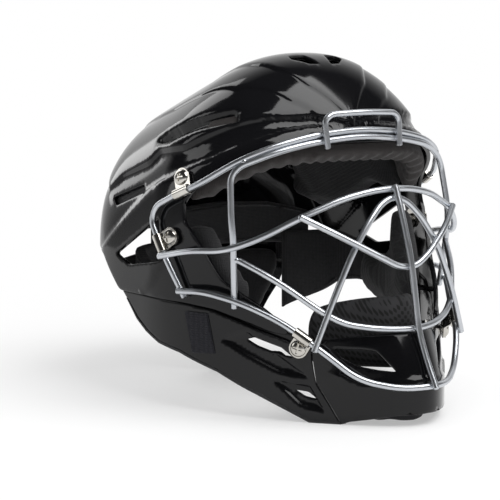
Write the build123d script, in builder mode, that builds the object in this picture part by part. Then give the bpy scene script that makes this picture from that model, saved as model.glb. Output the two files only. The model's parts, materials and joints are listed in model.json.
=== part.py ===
from build123d import *
import os
from math import cos, radians, sin, sqrt

# Baseball catcher's helmet, hockey style: a layered moulded skull shell, two jaw panels, a chin
# guard and a sprung back plate, with a welded wire cage held by six P-clips, and its liner pads.
# Millimetres. X runs across the head, -Y is the face, +Z is up. The helmet stands face up by
# rake degrees, as it does on a table, on the front corners of its jaw and the tip of its back plate.

os.makedirs("parts", exist_ok=True)

# Driving dimensions of the skull shell
shell_half_width = 112.5
shell_half_height = 139.0
shell_front_reach = 127.0
shell_rear_reach = 79.0
shell_centre_y = 32.4
shell_centre_z = 82.0
rake = 22.4
shell_wall = 3.2
shell_roundness = 2.25
shell_squareness = 4.8
cheek_start_y = 18.0
cheek_taper_power = 1.5
low_taper_top = 140.0
low_taper_band = 50.0
cheek_taper = 2.8e-4
low_cheek_taper = 0.9e-4

# Raised layers of the skull shell
crown_panel_rise = 3.4
upper_rib_rise = 2.0
side_rib_rise = 1.0
rim_rise = 1.2
scoop_depth = 1.6

# Jaw and chin
jaw_wall = 3.2
jaw_inset = 0.5
jaw_recess_depth = 2.0
chin_wall = 3.2
chin_setback = 14.0
bumper_rise = 1.4
lap_wall = 2.4
lap_height = 9.0
lap_clearance = 2.2
seam_gap = 0.3
edge_trim_height = 1.8
edge_trim_overhang = 0.5
loop_thickness = 1.6
loop_clearance = 0.2
slot_end_gap = 1.0

# Cage wire and its fastenings
wire_diameter = 4.3
wire_sides = 9
clip_strip = 1.2
clip_width = 13.0
clip_clearance = 0.15
clip_lift = 0.8
nut_clearance = 0.8
screw_head_diameter = 11.0
screw_head_height = 2.6
screw_slot_width = 1.4
screw_slot_depth = 1.2
screw_shank_diameter = 4.6
screw_hole_clearance = 0.3
screw_sides = 16
nut_flange_diameter = 14.0
nut_flange_height = 1.2
nut_barrel_diameter = 7.0
nut_barrel_height = 3.0

# Liner
pad_clearance = 0.3
liner_clearance = 0.9
crown_pad_thickness = 13.0
forehead_pad_thickness = 14.0
side_pad_thickness = 12.0
cheek_pad_thickness = 14.0
chin_pad_thickness = 15.0
chin_foam_thickness = 9.0
foam_lobe_diameter = 13.0
foam_lobe_sides = 16
chin_pad_gap = 0.4

# Back plate and its elastic straps
plate_wall = 3.0
plate_bulge_radius = 80.0
plate_pad_thickness = 12.0
plate_pad_margin = 7.0
strap_thickness = 1.6
strap_width = 16.0

# The outlines and wires below are drawn for a shell of these sizes, and stretch with the real one
drawn_half_width = 112.5
drawn_half_height = 139.0
drawn_front_reach = 127.0
drawn_rear_reach = 79.0

# Outlines in side view, as (y, z) points
seam_line = [(58, 75), (23, 75), (-11, 74), (-33, 71), (-52, 64), (-66, 58), (-79, 52.5)]
chin_seam = [(-89, 54), (-88.5, 44), (-91, 27), (-98, 13), (-104, 0)]
rear_outline = [(170, 270), (170, 107), (135, 107), (112, 103), (86, 98)]
face_outline = [
    (-76, 57), (-72, 65), (-62, 75), (-49, 84), (-38, 92), (-27, 111), (-13, 129), (-11, 141),
    (-17, 149.5), (-40, 164.5), (-60, 178.5), (-66, 180), (-160, 180), (-160, 270)]
skull_outline = rear_outline + seam_line[:-1] + face_outline
ear_window = [(65, 100), (11, 130), (4, 101), (46, 94)]
rear_vent = [(88, 137), (78, 132), (38, 145), (44, 150)]
side_scoop = [(42, 178), (23, 180), (-4, 190), (-31, 196), (-27, 202), (3, 195), (30, 185)]
side_rib_outline = [
    (120, 260), (120, 150), (100, 141), (80, 153), (45, 164), (33, 173), (1, 177), (-11, 183),
    (-32, 193), (-46, 198), (-90, 198), (-90, 260)]
rim_outline = [
    (92, 100), (32, 148), (-1, 162), (-27, 173), (-49, 186), (-58, 193), (-90, 193), (-90, 170),
    (-10, 120), (20, 80), (60, 60)]
jaw_edge = [(-88, 0), (-83, 3), (-60, 17), (-36, 30), (-8, 40), (12, 44), (26, 50), (38, 57)]
upper_jaw_recess = [(-40, 52), (-55, 58), (-86, 31), (-72, 33)]
upper_jaw_hole = [(-54, 53), (-61, 55), (-72, 50), (-79, 43), (-69, 45), (-60, 49)]
lower_jaw_recess = [(-70, 27), (-88, 24), (-95, 9), (-83, 12)]
lower_jaw_hole = [(-80, 21), (-87, 20), (-92, 15), (-85, 17)]
jaw_lap_line = [(40, 84), (20, 84), (-13, 83), (-30, 80), (-46, 74), (-60, 66)]
strap_slots = [((-14, 69), (-30, 69)), ((-20, 43), (-35, 44))]
cheek_pad_outline = [
    (-30, 58), (-40, 84), (-28, 106), (-14, 126), (0, 126), (-4, 101), (14, 90), (40, 88), (40, 64),
    (20, 54), (0, 50)]
side_pad_outline = [(3, 138), (8, 176), (60, 190), (100, 172), (112, 128), (88, 118), (72, 118), (30, 141)]
forehead_outline = [
    (-12, 141), (-36, 156), (-58, 170), (-90, 172), (-90, 222), (-40, 222), (-4, 200), (-4, 150)]

# Outlines seen from above, as (x, y) points of the right half, and in front view as (x, z)
crown_panel_outline = [
    (0, -60), (26, -42), (39, -24), (44, -3), (43, 14), (38, 60), (30, 100), (24, 150), (0, 150)]
upper_rib_outline = [
    (0, -60), (26, -56), (43, -46), (55, -32), (66, -16), (71, 19), (69, 55), (62, 90), (44, 150), (0, 150)]
crown_vent = [(5, -29), (13, -28), (22, -20), (20, -14), (9, -16)]
crown_pad_outline = [(0, 6), (30, 6), (36, 30), (30, 62), (24, 88), (0, 88)]
chin_eye = [(46, 50), (32, 50), (26, 49), (18, 36), (27, 37), (36, 39), (43, 44)]
chin_bumper = [(0, 32), (17, 31), (34, 28), (43, 34), (47, 33), (40, 18), (39, 10), (36, 5), (0, 8)]
plate_outline = [(0, 97), (62, 97), (66, 90), (66, 80), (58, 60), (44, 40), (28, 20), (12, 0), (0, 0)]
plate_profile = [(93, 0), (108, 20), (119, 40), (126, 60), (128, 80), (126, 100)]

# Plan of the jaw: a blunt nose with straight cheeks, then the sides
jaw_nose_y = -138.0
jaw_nose_radius = 25.0
jaw_cheek_slope = 1.317
jaw_side_points = [(95, -37), (103, -20), (109, 0), (111.6, 19), (111.8, 45), (111.5, 90)]
jaw_top = 90.0

# Screw places, as (y, z) of each screw's axis where it meets the outside
brow_screw = (-8.6, 157.4)
ear_screw = (-4.5, 118.0)
jaw_screw = (-82.4, 49.4)

helmet_frame = Plane(
    origin=(0, shell_centre_y, shell_centre_z),
    x_dir=(1, 0, 0),
    z_dir=(0, sin(radians(rake)), cos(radians(rake))))
far = 170.0


def keep(part, name):
    part.label = name
    export_step(part, f"parts/{name}.step")
    print(name, round(part.volume), len(part.solids()))


# The outlines and wires are placed by these three
def across(x):
    return x * shell_half_width / drawn_half_width


def along(y):
    front = shell_front_reach / drawn_front_reach
    rear = shell_rear_reach / drawn_rear_reach
    return shell_centre_y + (y - shell_centre_y) * (front if y < shell_centre_y else rear)


def up(z):
    share = shell_half_height / drawn_half_height if z > shell_centre_z else 1
    return shell_centre_z + (z - shell_centre_z) * share


def unit_curve(angle, power):
    """How far out a superellipse of this power and of unit size is at an angle."""
    return (abs(cos(angle)) ** power + abs(sin(angle)) ** power) ** (-1 / power)


def skull_point(turn, sweep):
    """A point of the outer skull: turn is an angle round the head from its crown, sweep from the face back."""
    side, rear = radians(turn), radians(sweep)
    reach = shell_front_reach if sweep < 90 else shell_rear_reach
    spread = unit_curve(rear, shell_squareness)
    ring = unit_curve(side, shell_roundness)
    x = shell_half_width * spread * sin(rear) * ring * sin(side)
    y = -reach * spread * cos(rear)
    z = shell_half_height * spread * sin(rear) * ring * cos(side)
    point = helmet_frame.from_local_coords(Vector(x, y, z))
    low = min(1, max(0, (low_taper_top - point.Z) / low_taper_band))
    taper = cheek_taper + low_cheek_taper * low * low * (3 - 2 * low)
    narrow = 1 - taper * max(0, cheek_start_y - point.Y) ** cheek_taper_power
    return Vector(point.X * narrow, point.Y, point.Z)


def inner_point(turn, sweep, depth):
    """The point this deep inside the outer skull, square to its surface."""
    round_head = skull_point(turn + 1, sweep) - skull_point(turn - 1, sweep)
    to_rear = skull_point(turn, sweep + 1) - skull_point(turn, sweep - 1)
    return skull_point(turn, sweep) - round_head.cross(to_rear).normalized() * depth


def skull_face(turn_limit=126, front_sweep=9, rear_sweep=168, rows=21, columns=21, depth=0.0):
    turn_step = 2 * turn_limit / (rows - 1)
    sweep_step = (rear_sweep - front_sweep) / (columns - 1)
    grid = [
        [inner_point(-turn_limit + row * turn_step, front_sweep + column * sweep_step, depth)
            for column in range(columns)]
        for row in range(rows)]
    return Face.make_surface_from_array_of_points(grid, tol=0.2, min_deg=3, max_deg=5)


def jaw_plan_y(x):
    return jaw_nose_y + jaw_cheek_slope * (sqrt(x * x + jaw_nose_radius ** 2) - jaw_nose_radius)


def jaw_plan(inset):
    """Points of the jaw's plan curve, drawn in by inset square to the curve."""
    front = [(x, jaw_plan_y(x)) for x in (-85, -70, -55, -40, -28, -18, -9, 0, 9, 18, 28, 40, 55, 70, 85)]
    left = [(-x, y) for x, y in reversed(jaw_side_points)]
    points = [Vector(across(x), along(y)) for x, y in left + front + jaw_side_points]
    before = [points[0] + Vector(0, 1)] + points[:-1]
    after = points[1:] + [points[-1] + Vector(0, 1)]
    runs = [second - first for first, second in zip(before, after)]
    return [point - run.cross(Vector(0, 0, 1)).normalized() * inset for point, run in zip(points, runs)]


def jaw_block(inset, bottom, top):
    """The space inside the jaw's plan curve, drawn in by inset, between two heights."""
    with BuildPart() as block:
        with BuildSketch(Plane.XY.offset(bottom)):
            with BuildLine():
                curve = Spline(*jaw_plan(inset))
                Line(curve @ 1, curve @ 0)
            make_face()
        extrude(amount=top - bottom)
    return block.part


def jaw_layer(inset, thickness, bottom=0.0, top=jaw_top):
    return jaw_block(inset, bottom, top) - jaw_block(inset + thickness, bottom, top)


def side_prism(outline, rounding=0.0, rise=0.0, shift=0.0):
    """A prism through the helmet from side to side, on (y, z) points that move by shift and rise."""
    with BuildPart() as prism:
        with BuildSketch(Plane.YZ) as profile:
            with BuildLine():
                Polyline(*[(along(y) + shift, up(z) + rise) for y, z in outline], close=True)
            make_face()
            if rounding:
                fillet(profile.vertices(), radius=rounding)
        extrude(amount=far, both=True)
    return prism.part


def mirrored_outline(half_outline):
    return half_outline + [(-x, other) for x, other in reversed(half_outline) if x]


def top_prism(half_outline, bottom=130.0, top=270.0, rounding=0.0):
    """A prism seen from above, symmetric about the centre plane, on (x, y) points of its right half."""
    with BuildPart() as prism:
        with BuildSketch(Plane.XY.offset(bottom)) as profile:
            with BuildLine():
                Polyline(*[(across(x), along(y)) for x, y in mirrored_outline(half_outline)], close=True)
            make_face()
            if rounding:
                fillet(profile.vertices(), radius=rounding)
        extrude(amount=top - bottom)
    return prism.part


def end_prism(outline, rounding=0.0, sign=-1):
    """A prism from the middle to the front of the helmet, or to the back, on an outline of (x, z) points."""
    with BuildPart() as prism:
        with BuildSketch(Plane.XZ) as profile:
            with BuildLine():
                Polyline(*[(across(x), z) for x, z in outline], close=True)
            make_face()
            if rounding:
                fillet(profile.vertices(), radius=rounding)
        extrude(amount=-sign * far)
    return prism.part


def half_space(side):
    """A large box holding one side of the helmet: side is 1 for +X and -1 for -X."""
    return Pos(side * far, 0, 120) * Box(2 * far, 4 * far, 3 * far)


outer_skull = skull_face()


def skull_layer(thickness):
    """The solid between the outer skull and the surface this far inside it, or outside it if negative."""
    with BuildPart() as layer:
        thicken(outer_skull, amount=-thickness)
    return layer.part


def liner_layer(start, thickness):
    """The solid of this thickness that lines the skull, starting this deep inside its outer face."""
    with BuildPart() as layer:
        thicken(skull_face(depth=start, rows=15, columns=15), amount=-thickness)
    return layer.part


# Skull shell
shell_body = skull_layer(shell_wall)
side_rib = skull_layer(-side_rib_rise) & side_prism(side_rib_outline)
upper_rib = skull_layer(-upper_rib_rise) & top_prism(upper_rib_outline)
crown_panel = skull_layer(-crown_panel_rise) & top_prism(crown_panel_outline)
rim = skull_layer(-rim_rise) & side_prism(rim_outline)
scoop = (skull_layer(scoop_depth) + skull_layer(-upper_rib_rise - side_rib_rise)) & side_prism(side_scoop, 2)
with BuildPart() as skull_shell:
    add(shell_body)
    add(side_rib)
    add(upper_rib)
    add(crown_panel)
    add(rim)
    add(side_prism(skull_outline), mode=Mode.INTERSECT)
    add(scoop, mode=Mode.SUBTRACT)
    add(side_prism(ear_window, 3), mode=Mode.SUBTRACT)
    add(side_prism(rear_vent, 2), mode=Mode.SUBTRACT)
    for side in (1, -1):
        with BuildSketch(Plane.XY.offset(180)) as vent:
            with BuildLine():
                Polyline(*[(side * across(x), along(y)) for x, y in crown_vent], close=True)
            make_face()
            fillet(vent.vertices(), radius=1.5)
        extrude(amount=90, mode=Mode.SUBTRACT)

# Jaw panels: each tucks a lap behind the skull shell's lower band, and wears a soft trim on its edge
lap_inset = jaw_inset + jaw_wall + lap_clearance
jaw_outline = seam_line + chin_seam + jaw_edge
jaw_space = side_prism(jaw_outline, rise=-seam_gap)
panel_space = side_prism(jaw_outline, rise=edge_trim_height) & jaw_space
jaw_panel = jaw_layer(jaw_inset, jaw_wall) & panel_space
lap_outline = jaw_lap_line + [(-60, 50), (40, 64)]
lap = jaw_layer(lap_inset, lap_wall, 40) & side_prism(lap_outline)
lap_root = jaw_layer(jaw_inset + jaw_wall / 2, lap_inset + lap_wall - jaw_inset - jaw_wall / 2, 40)
lap_root &= side_prism(lap_outline) & panel_space
jaw_panel += lap + lap_root
jaw_recess = jaw_block(-5, 0, jaw_top) - jaw_block(jaw_inset + jaw_recess_depth, 0, jaw_top)
for outline in (upper_jaw_recess, lower_jaw_recess):
    jaw_panel -= jaw_recess & side_prism(outline, 2)
for outline in (upper_jaw_hole, lower_jaw_hole):
    jaw_panel -= side_prism(outline, 1)
slot_height = loop_thickness + 2 * loop_clearance
for (front_y, front_z), (rear_y, rear_z) in strap_slots:
    slot_top = [(front_y + slot_end_gap, front_z), (rear_y - slot_end_gap, rear_z)]
    slot_bottom = [(y, z - slot_height) for y, z in reversed(slot_top)]
    jaw_panel -= side_prism(slot_top + slot_bottom)
trim_layer = jaw_layer(jaw_inset - edge_trim_overhang, jaw_wall + 2 * edge_trim_overhang)
edge_trim = (trim_layer & jaw_space) - side_prism(jaw_outline, rise=edge_trim_height)
edge_trim &= side_prism([(70, 70), (34, 70), (-104, 20), (-104, 0), (60, 0)])

# Chin guard: it follows the jaw's plan, its upper part leans back, and its lower part is a bumper
def chin_point(x, z):
    lean = max(0, (z - 30) / 30) ** 1.2
    middle = max(0, 1 - (x / 66) ** 2) ** 1.5
    return Vector(across(x), along(jaw_plan_y(x)) + chin_setback * lean * middle, z)


def chin_face():
    grid = [[chin_point(-76 + 8 * column, -6 + 8 * row) for column in range(20)] for row in range(10)]
    return Face.make_surface_from_array_of_points(grid, tol=0.1, min_deg=3, max_deg=5)


outer_chin = chin_face()


def chin_layer(start, end):
    """The solid between two surfaces parallel to the outside of the chin, at these depths inside it."""
    with BuildPart() as layer:
        thicken(outer_chin, amount=end)
    if not start:
        return layer.part
    with BuildPart() as shallow:
        thicken(outer_chin, amount=start)
    return layer.part - shallow.part


chin_lap_front = [(y - lap_height / 2, z) for y, z in chin_seam]
chin_lap_outline = chin_lap_front + [(y + lap_height, z) for y, z in reversed(chin_seam)]
chin_lap_root = chin_lap_front + [(y - 2 * seam_gap, z) for y, z in reversed(chin_seam)]
chin_outline = chin_seam + [
    (-108, 2), (-118, 4), (-131, 7.5), (-160, 8), (-160, 64), (-128, 61.5), (-108, 58), (-93, 55)]
with BuildPart() as chin_guard:
    add(chin_layer(0, chin_wall))
    add(side_prism(chin_outline, shift=-seam_gap), mode=Mode.INTERSECT)
    add(chin_layer(0, -bumper_rise) & end_prism(mirrored_outline(chin_bumper)))
    for side in (-1, 1):
        add(end_prism([(side * x, z) for x, z in chin_eye], 1.5), mode=Mode.SUBTRACT)
    add(jaw_layer(lap_inset, lap_wall, 6, 52) & side_prism(chin_lap_outline))
    add(jaw_layer(chin_wall / 2, lap_inset + lap_wall - chin_wall / 2, 6, 52) & side_prism(chin_lap_root))


# Cage: each bar is one bent wire, welded where it crosses another
def easy_radii(points, share=0.45):
    """For each corner, the radius whose arc takes up share of the shorter run beside it."""
    radii = []
    for before, here, after in zip(points, points[1:], points[2:]):
        first = Vector(*here) - Vector(*before)
        second = Vector(*after) - Vector(*here)
        half_turn = radians(first.get_angle(second)) / 2
        run = share * min(first.length, second.length)
        radii.append(run * cos(half_turn) / sin(half_turn))
    return radii


def bar(name, points):
    placed = [(across(x), along(y), up(z)) for x, y, z in points]
    with BuildPart() as wire:
        with BuildLine() as route:
            FilletPolyline(*placed, radius=easy_radii(placed))
        with BuildSketch(Plane(origin=route.line @ 0, z_dir=route.line % 0)):
            RegularPolygon(wire_diameter / 2, wire_sides, major_radius=False)
        sweep()
    keep(wire.part, name)
    return route.wire()


def mirrored(points):
    return points + [(-x, y, z) for x, y, z in reversed(points) if x]


outer_frame = mirrored([
    (-107.8, -16.4, 78.7), (-114.6, -3.8, 104.1), (-115.5, 12, 128), (-113.8, 8.5, 138.2),
    (-110, -11.5, 147.5), (-103.6, -27, 154.4), (-86, -49.5, 171.2), (-63, -62, 181), (-34, -67, 187),
    (0, -68.5, 189.5)])
inner_frame = mirrored([
    (-90.2, -48.9, 73.9), (-92, -51, 93), (-94, -53, 120), (-94.5, -51.5, 133), (-92, -47, 160),
    (-86.4, -49.6, 167.1), (-64, -63.8, 177), (-36, -67.5, 182), (0, -69.5, 185)])
visor_loop = mirrored([(-31, -71.9, 178), (-32, -69.6, 196), (-27, -70.3, 200), (0, -71.8, 201)])
upper_eye_bar = mirrored([
    (-118.4, -1.4, 105.4), (-111.6, -25.5, 111), (-99.8, -51.7, 112.5), (-84, -71, 122), (-65, -86, 135),
    (-37, -97, 147), (-17, -101, 151), (0, -101.5, 152)])
lower_eye_bar = mirrored([
    (-65.8, -88.3, 135.8), (-46, -103, 124), (-22, -114.4, 110), (-9, -117.4, 103), (0, -118.3, 101.5)])
nose_arch = mirrored([
    (-64, -100.6, 49.9), (-51, -104, 83), (-36.3, -105.4, 113.1), (-22.3, -104.9, 132.1), (-11, -103.5, 143),
    (0, -103, 147)])
mouth_bar = mirrored([
    (-90.4, -54.6, 106), (-75, -78, 93), (-57, -98, 75), (-44, -107, 66.5), (-24, -119, 63),
    (0, -126.8, 62)])
chin_frame = mirrored([
    (-112.6, -14.8, 83.1), (-105.4, -33.9, 84.3), (-90.6, -56.2, 78.4), (-74, -78.4, 67.2),
    (-59.5, -101.5, 50.5),
    (-41.3, -118.8, 31.2), (-20, -135.6, 26.2), (0, -144.4, 27)])
centre_bar = [
    (0, -104, 154), (0, -110.4, 138), (0, -120.4, 108), (0, -125, 84), (0, -128.6, 62), (0, -137, 43),
    (0, -146.6, 26)]
routes = {}
for name, points in (
        ("cage_outer_frame", outer_frame), ("cage_inner_frame", inner_frame),
        ("cage_visor_loop", visor_loop),
        ("cage_upper_eye_bar", upper_eye_bar), ("cage_lower_eye_bar", lower_eye_bar),
        ("cage_nose_arch", nose_arch), ("cage_mouth_bar", mouth_bar), ("cage_chin_frame", chin_frame),
        ("cage_centre_bar", centre_bar)):
    routes[name] = bar(name, points)


# P-clips: a strip looped round the wire, its two ends held flat on the shell under a screw
def outside(body, place, side):
    """Where a line across the helmet meets the outside of a body, and which way the body faces there."""
    y, z = place
    hits = body.find_intersection_points(Axis((0, along(y), up(z)), (side, 0, 0)))
    return max(hits, key=lambda hit: side * hit[0].X)


def clip_plane(route, seat, normal):
    """The plane square to the wire beside the screw: x points to the screw, y off the shell."""
    steps = 600
    places = [route @ (step / steps) for step in range(steps + 1)]
    nearest = min(range(steps + 1), key=lambda step: (places[step] - seat).length)
    run = route % (nearest / steps)
    off_shell = (normal - run * normal.dot(run)).normalized()
    to_screw = off_shell.cross(run)
    if (seat - places[nearest]).dot(to_screw) < 0:
        to_screw = -to_screw
    return Plane(origin=places[nearest], x_dir=to_screw, z_dir=to_screw.cross(off_shell))


def p_clip(plane, seat):
    foot = plane.to_local_coords(seat) + Vector(0, clip_lift)
    bore = wire_diameter / 2 + clip_clearance
    outer = bore + clip_strip
    tab = 2 * clip_strip
    end = foot.X + clip_width / 2
    bend = foot.X - clip_width / 2
    with BuildPart() as clip:
        with BuildSketch(plane):
            with BuildLine():
                Polyline(
                    (0, -outer), (bend, foot.Y), (end, foot.Y), (end, foot.Y + tab), (bend, foot.Y + tab),
                    (0, tab - outer), close=True)
            make_face()
            Circle(outer)
            Circle(bore, mode=Mode.SUBTRACT)
        extrude(amount=clip_width / 2, both=True)
        with BuildSketch(Plane(origin=seat, x_dir=plane.x_dir, z_dir=plane.y_dir)) as shape:
            Circle(clip_width / 2)
            with Locations((-far / 4, 0)):
                Rectangle(far / 2, clip_width)
        extrude(amount=far / 4, both=True, mode=Mode.INTERSECT)
        with BuildSketch(Plane(origin=seat, x_dir=plane.x_dir, z_dir=plane.y_dir)):
            Circle((screw_shank_diameter + screw_hole_clearance) / 2)
        extrude(amount=far / 8, both=True, mode=Mode.SUBTRACT)
    return clip.part


def clip_screw(plane, depth):
    """A pan head with a cross slot, and a shank that reaches to the end of the nut at this depth."""
    head = plane.offset(clip_lift + 2 * clip_strip)
    with BuildPart() as screw:
        with BuildSketch(head):
            RegularPolygon(screw_head_diameter / 2, screw_sides)
        extrude(amount=screw_head_height)
        top = screw.faces().sort_by(lambda face: face.center().dot(plane.z_dir))[-1]
        chamfer(top.edges(), length=screw_head_height * 0.4)
        with BuildSketch(head.offset(screw_head_height)):
            Rectangle(screw_head_diameter * 0.6, screw_slot_width)
            Rectangle(screw_slot_width, screw_head_diameter * 0.6)
        extrude(amount=-screw_slot_depth, mode=Mode.SUBTRACT)
        with BuildSketch(head):
            RegularPolygon(screw_shank_diameter / 2, screw_sides // 2)
        extrude(amount=-(clip_lift + 2 * clip_strip + depth + nut_barrel_height))
    return screw.part


def clip_nut(plane, depth):
    with BuildPart() as nut:
        with BuildSketch(plane.offset(-depth)):
            RegularPolygon(nut_flange_diameter / 2, screw_sides)
        extrude(amount=-nut_flange_height)
        with BuildSketch(plane.offset(-depth)):
            RegularPolygon(nut_barrel_diameter / 2, screw_sides // 2)
        extrude(amount=-nut_barrel_height)
        with BuildSketch(plane.offset(-depth)):
            RegularPolygon((screw_shank_diameter + screw_hole_clearance) / 2, screw_sides // 2)
        extrude(amount=-nut_barrel_height, mode=Mode.SUBTRACT)
    return nut.part


def bored(solid, plane, radius, reach):
    with BuildPart() as hole:
        with BuildSketch(plane.offset(-reach)):
            Circle(radius)
        extrude(amount=2 * reach)
    return solid - hole.part


jaw_panels = {side: jaw_panel & half_space(side) for side in (-1, 1)}
shell, chin, screws, nuts, pockets = skull_shell.part, chin_guard.part, [], [], []
hole_radius = (screw_shank_diameter + screw_hole_clearance) / 2
rim_wall = shell_wall + rim_rise + nut_clearance
chin_joint_wall = lap_inset + lap_wall - jaw_inset + nut_clearance
for clip_name, place, wire, depth in (
        ("brow_clip", brow_screw, "cage_outer_frame", rim_wall),
        ("ear_clip", ear_screw, "cage_outer_frame", rim_wall),
        ("jaw_clip", jaw_screw, "cage_chin_frame", chin_joint_wall)):
    for side_name, side in (("right", -1), ("left", 1)):
        body = jaw_panels[side] if clip_name == "jaw_clip" else shell
        seat, normal = outside(body, place, side)
        if normal.X * side < 0:
            normal = -normal
        square = clip_plane(routes[wire], seat, normal)
        keep(p_clip(square, seat), f"{clip_name}_{side_name}")
        axis_plane = Plane(origin=seat, x_dir=square.x_dir, z_dir=square.y_dir)
        screws.append(clip_screw(axis_plane, depth))
        nuts.append(clip_nut(axis_plane, depth))
        pockets.append(axis_plane.offset(-depth))
        if clip_name == "jaw_clip":
            jaw_panels[side] = bored(jaw_panels[side], axis_plane, hole_radius, far / 12)
            chin = bored(chin, axis_plane, hole_radius, far / 12)
        else:
            shell = bored(shell, axis_plane, hole_radius, far / 12)
keep(shell, "skull_shell")
keep(chin, "chin_guard")
keep(jaw_panels[-1], "jaw_panel_right")
keep(jaw_panels[1], "jaw_panel_left")
keep(edge_trim & half_space(-1), "jaw_trim_right")
keep(edge_trim & half_space(1), "jaw_trim_left")
keep(Compound(children=screws), "clip_screws")
keep(Compound(children=nuts), "clip_nuts")

# Strap loops: a closed band of webbing through the two slots of each jaw panel
(top_front, top_rear), (low_front, low_rear) = strap_slots
outer_inset = jaw_inset - loop_clearance - loop_thickness
inner_inset = lap_inset + lap_wall + loop_clearance
loop_band = jaw_layer(outer_inset, inner_inset + loop_thickness - outer_inset, 30)
loop_core = jaw_layer(outer_inset + loop_thickness, inner_inset - outer_inset - loop_thickness, 30)
band_top, band_bottom = -loop_clearance, loop_clearance - slot_height
band_space = side_prism([
    (top_front[0], top_front[1] + band_top), (top_rear[0], top_rear[1] + band_top),
    (low_rear[0], low_rear[1] + band_bottom), (low_front[0], low_front[1] + band_bottom)])
core_space = side_prism([
    (top_front[0] + slot_end_gap, top_front[1] + band_bottom),
    (top_rear[0] - slot_end_gap, top_rear[1] + band_bottom),
    (low_rear[0] - slot_end_gap, low_rear[1] + band_top),
    (low_front[0] + slot_end_gap, low_front[1] + band_top)])
strap_loop = (loop_band & band_space) - (loop_core & core_space)
keep(strap_loop & half_space(-1), "strap_loop_right")
keep(strap_loop & half_space(1), "strap_loop_left")


# Liner pads, each a slice of the space inside the shell, with pockets for the nuts
def pocketed(pad):
    for plane in pockets:
        with BuildPart() as pocket:
            with BuildSketch(plane.offset(shell_wall)):
                Circle(nut_flange_diameter / 2 + pad_clearance)
            extrude(amount=-(shell_wall + nut_barrel_height + pad_clearance))
        pad = pad - pocket.part
    return pad


pad_start = shell_wall + liner_clearance
forehead_pad = liner_layer(pad_start, forehead_pad_thickness) & side_prism(forehead_outline)
keep(pocketed(forehead_pad), "forehead_pad")
crown_pad = liner_layer(pad_start, crown_pad_thickness) & top_prism(crown_pad_outline, rounding=8)
keep(crown_pad, "crown_pad")
side_pads = liner_layer(pad_start, side_pad_thickness) & side_prism(side_pad_outline, 5)
cheek_start = inner_inset + loop_thickness + pad_clearance
cheek_pads = jaw_layer(cheek_start, cheek_pad_thickness, 40, 130) & side_prism(cheek_pad_outline, 5)
for side_name, side in (("right", -1), ("left", 1)):
    keep(pocketed(side_pads & half_space(side)), f"side_pad_{side_name}")
    keep(pocketed(cheek_pads & half_space(side)), f"cheek_pad_{side_name}")

# Chin pad: a deep cushion bent round the chin. Chin foam: a lobed cup inside the chin guard
foam_top, foam_bottom, pad_top = 32.0, 0.6, 84.0
pad_middle = (foam_top + pad_clearance + pad_top) / 2


def plan_point(x, inset):
    slope = jaw_cheek_slope * x / sqrt(x * x + jaw_nose_radius ** 2)
    tilt = sqrt(1 + slope * slope)
    return across(x) - inset * slope / tilt, along(jaw_plan_y(x)) + inset / tilt


chin_pad_inset = chin_setback + chin_wall + chin_pad_gap + chin_pad_thickness / 2
(arm_x, arm_y), (inner_x, inner_y) = plan_point(62, chin_pad_inset), plan_point(45, chin_pad_inset)
nose_y = arm_y - (arm_y - inner_y) / (arm_x - inner_x) * arm_x
with BuildPart() as chin_pad:
    with BuildLine() as bend:
        bend_points = [(-arm_x, arm_y, pad_middle), (0, nose_y, pad_middle), (arm_x, arm_y, pad_middle)]
        FilletPolyline(*bend_points, radius=12)
    with BuildSketch(Plane(origin=bend.line @ 0, x_dir=(0, 0, 1), z_dir=bend.line % 0)):
        RectangleRounded(pad_top - foam_top - pad_clearance, chin_pad_thickness, chin_pad_thickness * 0.4)
    sweep()
keep(chin_pad.part, "chin_pad")

foam_start = lap_inset + lap_wall + pad_clearance
foam_waist, lobe_step, lobe_root = 9.0, 0.8, 2.0
with BuildPart() as chin_foam:
    add(jaw_layer(foam_start, chin_foam_thickness, foam_waist, foam_top))
    add(side_prism([(-160, 0), (-101, 0), (-101, 60), (-160, 60)]), mode=Mode.INTERSECT)
    for x in (-39, -28, -15, 0, 15, 28, 39):
        lobe_x, lobe_y = plan_point(x, foam_start + lobe_step + foam_lobe_diameter / 2)
        with BuildSketch(Plane.XY.offset(foam_bottom)):
            with Locations((lobe_x, lobe_y)):
                RegularPolygon(foam_lobe_diameter / 2, foam_lobe_sides)
        extrude(amount=foam_waist + lobe_root - foam_bottom)
keep(chin_foam.part, "chin_foam")


# Back plate: a curved plate behind the neck, pulled in by elastic straps
def plate_surface(depth):
    rows = [(88, -8)] + plate_profile
    bulge = [(x, x * x / (2 * plate_bulge_radius)) for x in range(-80, 81, 20)]
    grid = [[Vector(across(x), along(y) - depth - back, z) for x, back in bulge] for y, z in rows]
    return Face.make_surface_from_array_of_points(grid, tol=0.1)


def plate_layer(start, thickness):
    surface = plate_surface(start)
    inward = -1 if surface.normal_at(surface.center()).Y > 0 else 1
    with BuildPart() as layer:
        thicken(surface, amount=inward * thickness)
    return layer.part


plate_shape = mirrored_outline(plate_outline)
with BuildPart() as back_plate:
    add(plate_layer(0, plate_wall))
    add(end_prism(plate_shape, 3, sign=1), mode=Mode.INTERSECT)
keep(back_plate.part, "back_plate")
pad_shape = [(x * 0.82, z * 0.84 + plate_pad_margin) for x, z in plate_shape]
with BuildPart() as back_plate_pad:
    add(plate_layer(1.3 * (plate_wall + pad_clearance), plate_pad_thickness))
    add(end_prism(pad_shape, 4, sign=1), mode=Mode.INTERSECT)
keep(back_plate_pad.part, "back_plate_pad")

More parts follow.
